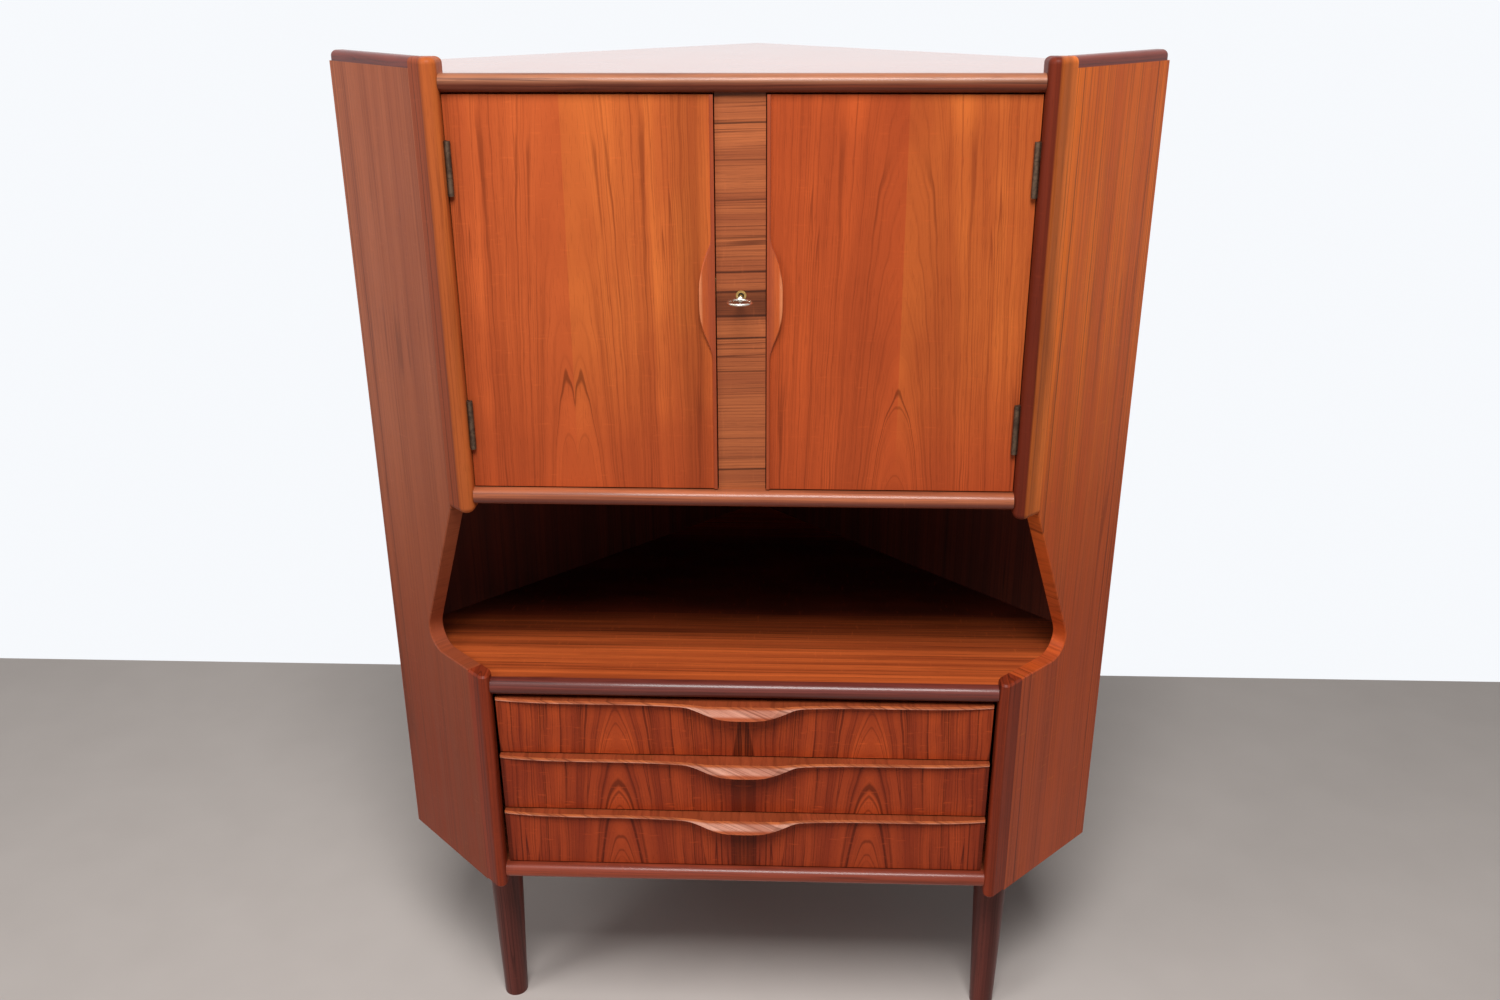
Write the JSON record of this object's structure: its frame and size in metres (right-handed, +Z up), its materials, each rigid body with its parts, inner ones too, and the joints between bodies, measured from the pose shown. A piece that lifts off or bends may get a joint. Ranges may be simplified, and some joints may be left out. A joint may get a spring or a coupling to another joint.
{
  "type": "corner cabinet",
  "caption": "Pentagonal corner cabinet with hinged cupboard doors over an open niche, drawers with carved pulls and turned legs.",
  "frame": {"origin": "on the floor, in the middle of the width and of the whole depth, from the key's bow to the room corner behind", "axes": "+Z up, -Y out of the doors' faces into the room, +X to the right of someone who faces the doors"},
  "size_m": [0.9828, 0.6716, 1.365],
  "materials": {
    "veneer": "satin lacquer on rosewood veneer",
    "solid_rosewood": "satin lacquer on solid rosewood",
    "stile_veneer": "satin lacquer on figured veneer blocks",
    "inside_veneer": "thin matt lacquer",
    "drawer_wood": "planed and waxed hardwood",
    "plywood": "sanded plywood",
    "bronze": "dark patinated",
    "nickel": "worn nickel plate",
    "steel": "bare steel",
    "brass": "aged brass"
  },
  "bodies": {
    "carcass": {"left_wing": "veneer", "right_wing": "veneer", "left_wing_top_lipping": "solid_rosewood", "right_wing_top_lipping": "solid_rosewood", "left_post": "solid_rosewood", "right_post": "solid_rosewood", "left_front_lipping": "solid_rosewood", "right_front_lipping": "solid_rosewood", "left_back_panel": "inside_veneer", "right_back_panel": "inside_veneer", "top_board": "veneer", "top_lipping": "solid_rosewood", "cupboard_floor": "inside_veneer", "cupboard_floor_lipping": "solid_rosewood", "worktop": "veneer", "worktop_lipping": "solid_rosewood", "base_board": "inside_veneer", "base_lipping": "solid_rosewood", "left_leg": "solid_rosewood", "right_leg": "solid_rosewood", "rear_leg": "solid_rosewood", "left_partition": "drawer_wood", "right_partition": "drawer_wood", "drawer_runners": "drawer_wood", "centre_stile": "stile_veneer", "stop_strip": "inside_veneer", "lock_case": "steel", "keyhole_eyelet": "brass", "cupboard_shelf": "inside_veneer", "shelf_pins": "brass", "post_hinge_leaves": "bronze", "hinge_pins": "bronze"},
    "left_door": {"left_door": "veneer", "left_door_pull": "solid_rosewood", "left_door_hinge_leaves": "bronze"},
    "right_door": {"right_door": "veneer", "right_door_pull": "solid_rosewood", "right_door_hinge_leaves": "bronze"},
    "key": {"key": "nickel", "lock_cam": "steel"},
    "left_lock_bolt": {"left_lock_bolt": "brass"},
    "right_lock_bolt": {"right_lock_bolt": "brass"},
    "top_drawer": {"top_drawer_front": "veneer", "top_drawer_lip": "solid_rosewood", "top_drawer_left_side": "drawer_wood", "top_drawer_right_side": "drawer_wood", "top_drawer_back": "drawer_wood", "top_drawer_bottom": "plywood"},
    "middle_drawer": {"middle_drawer_front": "veneer", "middle_drawer_lip": "solid_rosewood", "middle_drawer_left_side": "drawer_wood", "middle_drawer_right_side": "drawer_wood", "middle_drawer_back": "drawer_wood", "middle_drawer_bottom": "plywood"},
    "bottom_drawer": {"bottom_drawer_front": "veneer", "bottom_drawer_lip": "solid_rosewood", "bottom_drawer_left_side": "drawer_wood", "bottom_drawer_right_side": "drawer_wood", "bottom_drawer_back": "drawer_wood", "bottom_drawer_bottom": "plywood"}
  },
  "joints": [
    {"name": "left_door_hinge", "type": "hinge", "parent": "carcass", "child": "left_door", "pos_m": [-0.32344, -0.29362, 1.097], "axis": [0, 0, -1], "range_deg": [0, 125]},
    {"name": "right_door_hinge", "type": "hinge", "parent": "carcass", "child": "right_door", "pos_m": [0.32344, -0.29362, 1.097], "axis": [0, 0, 1], "range_deg": [0, 125]},
    {"name": "top_drawer_slide", "type": "slide", "parent": "carcass", "child": "top_drawer", "axis": [0, -1, 0], "range_m": [0, 0.22]},
    {"name": "middle_drawer_slide", "type": "slide", "parent": "carcass", "child": "middle_drawer", "axis": [0, -1, 0], "range_m": [0, 0.22]},
    {"name": "bottom_drawer_slide", "type": "slide", "parent": "carcass", "child": "bottom_drawer", "axis": [0, -1, 0], "range_m": [0, 0.22]},
    {"name": "key_turn", "type": "hinge", "parent": "carcass", "child": "key", "pos_m": [0, -0.28782, 1.10499], "axis": [0, -1, 0], "range_deg": [0, 90]},
    {"name": "left_bolt_slide", "type": "slide", "parent": "carcass", "child": "left_lock_bolt", "axis": [-1, 0, 0], "range_m": [0, 0.008]},
    {"name": "right_bolt_slide", "type": "slide", "parent": "carcass", "child": "right_lock_bolt", "axis": [1, 0, 0], "range_m": [0, 0.008]}
  ],
  "couplings": [
    {"joint": "left_bolt_slide", "follows": "key_turn", "m_per_rad": 0.005092},
    {"joint": "right_bolt_slide", "follows": "key_turn", "m_per_rad": 0.005092}
  ]
}
